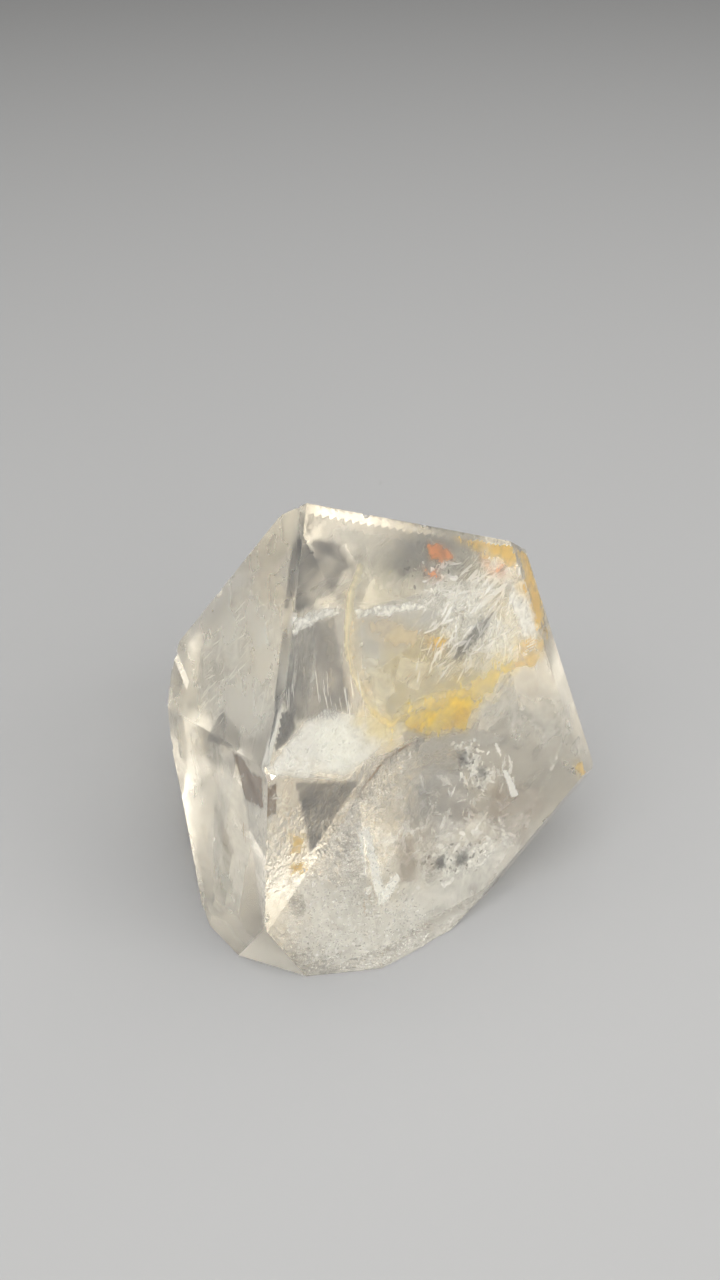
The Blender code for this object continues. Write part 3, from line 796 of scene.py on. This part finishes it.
def flake_tree():
    """Thin oval flakes over a surface: laid along lines that fan out from Fan Centre, then turned at
    random by up to Twist."""
    tree = bpy.data.node_groups.new("scattered_flakes", "GeometryNodeTree")
    inputs = (
        ("Surface", "NodeSocketGeometry"), ("Density", "NodeSocketFloat"), ("Seed", "NodeSocketInt"),
        ("Shortest", "NodeSocketFloat"), ("Longest", "NodeSocketFloat"), ("Narrowest", "NodeSocketFloat"),
        ("Widest", "NodeSocketFloat"), ("Fan Centre", "NodeSocketVector"), ("Twist", "NodeSocketVector"),
        ("Material", "NodeSocketMaterial"),
    )
    for title, kind in inputs:
        tree.interface.new_socket(title, in_out="INPUT", socket_type=kind)
    tree.interface.new_socket("Flakes", in_out="OUTPUT", socket_type="NodeSocketGeometry")
    nodes, links = tree.nodes, tree.links
    given = nodes.new("NodeGroupInput")
    points = nodes.new("GeometryNodeDistributePointsOnFaces")
    links.new(given.outputs["Surface"], points.inputs["Mesh"])
    cover = nodes.new("GeometryNodeInputNamedAttribute")
    cover.inputs["Name"].default_value = "cover"
    crowd = nodes.new("ShaderNodeMath")
    crowd.operation = "MULTIPLY"
    links.new(given.outputs["Density"], crowd.inputs[0])
    links.new(cover.outputs["Attribute"], crowd.inputs[1])
    links.new(crowd.outputs["Value"], points.inputs["Density"])
    links.new(given.outputs["Seed"], points.inputs["Seed"])
    place = nodes.new("GeometryNodeInputPosition")
    outwards = nodes.new("ShaderNodeVectorMath")
    outwards.operation = "SUBTRACT"
    links.new(place.outputs["Position"], outwards.inputs[0])
    links.new(given.outputs["Fan Centre"], outwards.inputs[1])
    fan = nodes.new("FunctionNodeAlignRotationToVector")
    fan.axis = "X"
    fan.pivot_axis = "Z"
    links.new(points.outputs["Rotation"], fan.inputs["Rotation"])
    links.new(outwards.outputs["Vector"], fan.inputs["Vector"])
    other_way = nodes.new("ShaderNodeVectorMath")
    other_way.operation = "SCALE"
    other_way.inputs["Scale"].default_value = -1.0
    links.new(given.outputs["Twist"], other_way.inputs[0])
    twist = nodes.new("FunctionNodeRandomValue")
    twist.data_type = "FLOAT_VECTOR"
    links.new(other_way.outputs["Vector"], twist.inputs[0])
    links.new(given.outputs["Twist"], twist.inputs[1])
    links.new(given.outputs["Seed"], twist.inputs["Seed"])
    turned = nodes.new("FunctionNodeRotateRotation")
    turned.rotation_space = "LOCAL"
    links.new(fan.outputs["Rotation"], turned.inputs["Rotation"])
    links.new(twist.outputs[0], turned.inputs["Rotate By"])
    size = nodes.new("ShaderNodeCombineXYZ")
    size.inputs["Z"].default_value = 1.0
    for axis, least, most in (("X", "Shortest", "Longest"), ("Y", "Narrowest", "Widest")):
        chance = nodes.new("FunctionNodeRandomValue")
        chance.data_type = "FLOAT"
        links.new(given.outputs[least], chance.inputs[2])
        links.new(given.outputs[most], chance.inputs[3])
        links.new(given.outputs["Seed"], chance.inputs["Seed"])
        links.new(chance.outputs[1], size.inputs[axis])
    oval = nodes.new("GeometryNodeMeshCircle")
    oval.fill_type = "TRIANGLE_FAN"
    oval.inputs["Vertices"].default_value = OVAL_SIDES
    oval.inputs["Radius"].default_value = OVAL_RADIUS
    copies = nodes.new("GeometryNodeInstanceOnPoints")
    links.new(points.outputs["Points"], copies.inputs["Points"])
    links.new(oval.outputs["Mesh"], copies.inputs["Instance"])
    links.new(turned.outputs["Rotation"], copies.inputs["Rotation"])
    links.new(size.outputs["Vector"], copies.inputs["Scale"])
    joined = nodes.new("GeometryNodeRealizeInstances")
    links.new(copies.outputs["Instances"], joined.inputs["Geometry"])
    dressed = nodes.new("GeometryNodeSetMaterial")
    links.new(joined.outputs["Geometry"], dressed.inputs["Geometry"])
    links.new(given.outputs["Material"], dressed.inputs["Material"])
    result = nodes.new("NodeGroupOutput")
    links.new(dressed.outputs["Geometry"], result.inputs["Flakes"])
    return tree


FLAKES = flake_tree()


def flake_material(name, colour, roughness, alpha):
    """Plain bright or dark flakes, a little see-through, so that they don't hide each other."""
    material = bpy.data.materials.new(name)
    material.use_nodes = True
    shader = material.node_tree.nodes["Principled BSDF"]
    shader.inputs["Base Color"].default_value = (*colour, 1.0)
    shader.inputs["Roughness"].default_value = roughness
    shader.inputs["Alpha"].default_value = alpha
    return material


def scatter_on(bm, name, material, density, seed, long, wide, fan, twist):
    """One piece of flakes, scattered over a mesh that has the cover layer. density is flakes per square
    metre, long and wide are their least and most size in millimetres, fan is the place that they point
    away from, and twist is the most that they turn at random, in degrees about each axis."""
    ground_mesh = bpy.data.meshes.new(name + "_ground")
    bm.to_mesh(ground_mesh)
    bm.free()
    ground = bpy.data.objects.new(name + "_ground", ground_mesh)
    bpy.context.scene.collection.objects.link(ground)
    spread = ground.modifiers.new("spread", "NODES")
    spread.node_group = FLAKES
    values = {
        "Density": density, "Seed": seed, "Shortest": long[0] * MM, "Longest": long[1] * MM,
        "Narrowest": wide[0] * MM, "Widest": wide[1] * MM, "Fan Centre": list(fan),
        "Twist": [radians(angle) for angle in twist], "Material": material,
    }
    for socket in FLAKES.interface.items_tree:
        if socket.in_out == "INPUT" and socket.name in values:
            spread[socket.identifier] = values[socket.name]
    seen = ground.evaluated_get(bpy.context.evaluated_depsgraph_get())
    mesh = bpy.data.meshes.new_from_object(seen)
    ground.modifiers.remove(spread)
    bpy.data.objects.remove(ground)
    bm = bmesh.new()
    bm.from_mesh(mesh)
    outside = [vert for vert in bm.verts if not lies_inside(vert.co)]
    strays = {face for vert in outside for face in vert.link_faces}
    bmesh.ops.delete(bm, geom=list(strays), context="FACES")
    bm.to_mesh(mesh)
    bm.free()
    mesh.name = name
    inner_piece(name, mesh)


def scatter(name, material, sheets, **rule):
    """The same over several sheets of its own."""
    scatter_on(sheets_mesh(sheets), name, material, **rule)


FEATHER_AND_GLINT_FLAKE = flake_material("feather_and_glint_flake", (0.98, 0.97, 0.93), roughness=0.35, alpha=0.32)
FEATHER_FIELD = ((1.0, 10.0), (4.0, 21.0), (12.0, 20.5), (17.0, 16.0), (18.0, 5.0), (12.0, 6.0), (5.0, 8.0))
scatter(
    "feather_plates", FEATHER_AND_GLINT_FLAKE, density=9.0e5, seed=3, long=(0.4, 2.6), wide=(0.06, 0.40),
    fan=behind(ROOF, 32.0, 28.0, 2.0), twist=(70.0, 25.0, 50.0),
    sheets=[sheet(ROOF, FEATHER_FIELD, depth=depth, fade=5.0) for depth in (1.4, 2.6, 4.0)],
)

# Long plates are a few larger flakes of the same kind. They lie on a crack that slants across the middle of
# the bowl, and point away from its upper right.
scatter(
    "long_plates", FEATHER_AND_GLINT_FLAKE, density=1.2e5, seed=4, long=(2.5, 8.0), wide=(0.15, 0.90),
    fan=behind(ROOF, 36.0, 27.0, 2.0), twist=(70.0, 8.0, 12.0),
    sheets=(
        sheet(ROOF, ((1.0, 8.5), (6.0, 12.0), (14.0, 17.0), (16.0, 12.0), (8.0, 7.5)), depth=2.0, fade=2.5),
    ),
)

# Fine streaks are thin pale growth tubes and cracks, seen edge on. They run up and down in the windows left
# of the bowl and under the lower left faces.
PALE_FLAKE = flake_material("pale_flake", (0.95, 0.93, 0.86), roughness=0.3, alpha=0.55)
scatter(
    "fine_streaks", PALE_FLAKE, density=5.0e5, seed=5, long=(1.0, 4.5), wide=(0.05, 0.14),
    fan=behind(ROOF, -10.0, 90.0, 2.0), twist=(20.0, 6.0, 5.0),
    sheets=(
        sheet(ROOF, ((-15.5, 15.5), (-10.8, 13.5), (-9.4, 7.0), (-14.6, 8.5)), depth=1.6, fade=2.0),
        sheet(ROOF, ((-22.0, 14.4), (-15.0, 15.6), (-14.4, 14.0), (-22.5, 11.5)), depth=1.4, fade=1.5),
        sheet(APRON, ((10.0, -3.0), (14.5, -3.0), (15.0, -20.0), (10.0, -22.0)), depth=1.0, fade=2.0),
        sheet(LEFT, ((4.0, 8.0), (11.0, 11.0), (11.0, 3.0), (6.0, 0.0)), depth=1.0, fade=2.0),
    ),
)

# Slanting streaks are the same tubes and cracks under the upper left face, where they follow its growth
# lines upwards to the right.
scatter(
    "slanting_streaks", PALE_FLAKE, density=4.0e5, seed=6, long=(0.8, 4.5), wide=(0.06, 0.22),
    fan=behind(LEFT, 60.0, 100.0, 1.0), twist=(20.0, 6.0, 12.0),
    sheets=(
        sheet(LEFT, ((-12.0, -5.0), (-12.0, 1.0), (-4.0, 15.0), (6.0, 16.0), (8.0, 8.0), (-2.0, -4.0)),
              depth=0.9, fade=3.0),
    ),
)

# Brown streaks are thin cracks filled with clay. They run up and down low on the left, in the front wall and
# at the left of the break.
BROWN_FLAKE = flake_material("brown_flake", (0.34, 0.24, 0.14), roughness=0.4, alpha=0.6)
scatter(
    "brown_streaks", BROWN_FLAKE, density=4.0e5, seed=8, long=(0.8, 4.5), wide=(0.06, 0.22),
    fan=behind(ROOF, -10.0, 90.0, 2.0), twist=(20.0, 6.0, 8.0),
    sheets=(
        sheet(APRON, ((9.0, -3.0), (15.0, -3.0), (15.5, -20.0), (9.0, -22.0)), depth=1.6, fade=2.0),
        sheet(WALL, ((-20.5, 2.0), (-18.0, 2.0), (-17.2, -9.0), (-20.5, -12.0)), depth=1.2, fade=1.0),
        sheet(ROOF, ((-12.0, -17.0), (-10.8, -17.0), (-9.4, -22.5), (-13.6, -21.0)), depth=4.8, fade=1.0),
    ),
)

# White specks are small bright bubbles and splinters, which lie any way round in healed cracks: inside the
# break, and near the rust.
WHITE_FLAKE = flake_material("white_flake", (0.98, 0.97, 0.93), roughness=0.25, alpha=0.5)
scatter(
    "white_specks", WHITE_FLAKE, density=1.8e6, seed=7, long=(0.2, 1.2), wide=(0.12, 0.55),
    fan=behind(ROOF, 0.0, 0.0, 4.0), twist=(90.0, 60.0, 180.0),
    sheets=(
        sheet(ROOF, ((4.4, -3.0), (9.2, -4.6), (10.4, -11.0), (8.0, -12.4), (4.4, -7.0)),
              depth=4.0, fade=2.5),
        sheet(ROOF, ((-4.0, -17.4), (4.0, -16.4), (12.0, -19.0), (7.0, -23.6), (-2.0, -21.6)),
              depth=4.9, fade=3.0),
        sheet(ROOF, ((1.0, 23.5), (7.0, 22.0), (8.0, 20.0), (3.0, 19.6)), depth=1.6, fade=3.0),
    ),
)

# Break wisps are loose pale flakes of crack and bubble. They hang in the quartz behind the whole break, at
# two depths.
BREAK_FIELD = (
    (-10.0, -6.0), (4.0, -8.0), (12.0, -10.0), (16.0, -16.0), (8.0, -24.0), (-8.0, -22.0), (-14.0, -16.0),
)
scatter(
    "break_wisps", WHITE_FLAKE, density=2.2e5, seed=17, long=(0.6, 3.2), wide=(0.10, 0.60),
    fan=behind(ROOF, 10.0, 20.0, 5.0), twist=(70.0, 30.0, 90.0),
    sheets=[sheet(ROOF, BREAK_FIELD, depth=depth, fade=6.0) for depth in (5.0, 6.5)],
)

# Dark specks are grains of dark mineral that the quartz grew round. They lie among the white specks and
# beside the rust.
DARK_SPECK = flake_material("dark_speck", (0.12, 0.11, 0.10), roughness=0.5, alpha=0.75)
scatter(
    "dark_specks", DARK_SPECK, density=1.3e6, seed=11, long=(0.2, 0.9), wide=(0.12, 0.45),
    fan=behind(ROOF, 0.0, 0.0, 4.0), twist=(90.0, 60.0, 180.0),
    sheets=(
        sheet(ROOF, ((4.2, -3.6), (7.4, -5.0), (9.0, -10.6), (6.0, -11.4)), depth=3.7, fade=2.0),
        sheet(ROOF, ((-3.0, -17.6), (4.0, -18.0), (9.0, -20.6), (6.0, -22.6), (-1.0, -21.6)),
              depth=4.5, fade=2.5),
        sheet(ROOF, ((-1.0, 25.6), (3.4, 24.4), (5.0, 19.8), (0.4, 20.6)), depth=1.2, fade=2.5),
    ),
)

# Hackle lines are the short dark ridges that a break leaves along its arch. They point away from where it
# started.
scatter(
    "hackle_lines", DARK_SPECK, density=3.4e6, seed=13, long=(0.6, 2.0), wide=(0.05, 0.13),
    fan=BREAK_CENTRE, twist=(15.0, 6.0, 6.0),
    sheets=(
        sheet(ROOF, ((-13.2, -3.4), (-12.0, -1.6), (-8.1, 0.6), (-4.8, 1.0), (-0.9, 0.9), (-4.0, -0.8),
                     (-8.0, -1.6), (-11.0, -4.6)), depth=1.5, fade=0.8),
        sheet(ROOF, ((-18.2, -9.6), (-13.6, -4.2), (-11.6, -5.4), (-12.4, -11.0), (-15.6, -12.0)),
              depth=4.6, fade=1.4),
    ),
)

# Bright and dark pits stipple the break on its left, just inside the arch and down to the floor. They are
# tiny dents in its surface; the light that they catch is painted as bright flakes and the shade in them as
# dark flakes, just under it here.
PIT_DEPTH = 0.35 * MM
PITTED = (
    (-20.5, -9.8), (-14.9, -5.9), (-12.4, -2.4), (-8.1, 0.2), (-3.0, 0.4), (-6.5, -4.0), (-9.5, -9.0),
    (-9.0, -16.0), (-5.0, -24.0), (-3.0, -36.0), (-20.0, -36.0), (-23.0, -22.0),
)
PITTED_OUTLINE = [Vector(point) * MM for point in PITTED]
# A dull grey, painted shade for the dark pits.
PAINTED_SHADE_FLAKE = flake_material("painted_shade_flake", (0.40, 0.38, 0.33), roughness=0.5, alpha=0.45)


def is_pitted(face):
    """True for the small faces that lie in the stippled band."""
    middle = face.calc_center_median()
    flat = Vector(((middle - ROOF.middle).dot(ROOF.right), (middle - ROOF.middle).dot(ROOF.up)))
    on_the_break = in_the_break(middle, face.normal) or on_the_left_facet(face.normal)
    return on_the_break and is_within(flat, PITTED_OUTLINE)


def pit_ground():
    """The stippled part of the crystal's skin, moved a little inwards."""
    bm = bmesh.new()
    bm.from_mesh(crystal_mesh)
    cover = bm.verts.layers.float.new("cover")
    others = [face for face in bm.faces if not is_pitted(face)]
    bmesh.ops.delete(bm, geom=others, context="FACES")
    bm.normal_update()
    inwards = [(vert, vert.normal * PIT_DEPTH) for vert in bm.verts]
    for vert, step in inwards:
        vert[cover] = 1.0
        vert.co -= step
    return bm


PIT_SHAPE = {"long": (0.20, 0.60), "wide": (0.12, 0.32), "fan": (0.0, 0.0, 0.0), "twist": (35.0, 35.0, 180.0)}
# The white flakes here are painted highlights in the pits, and the grey ones painted shade.
scatter_on(pit_ground(), "painted_highlights_in_pits", FEATHER_AND_GLINT_FLAKE, density=2.2e6, seed=19, **PIT_SHAPE)
scatter_on(pit_ground(), "painted_shade_in_pits", PAINTED_SHADE_FLAKE, density=2.0e6, seed=23, **PIT_SHAPE)
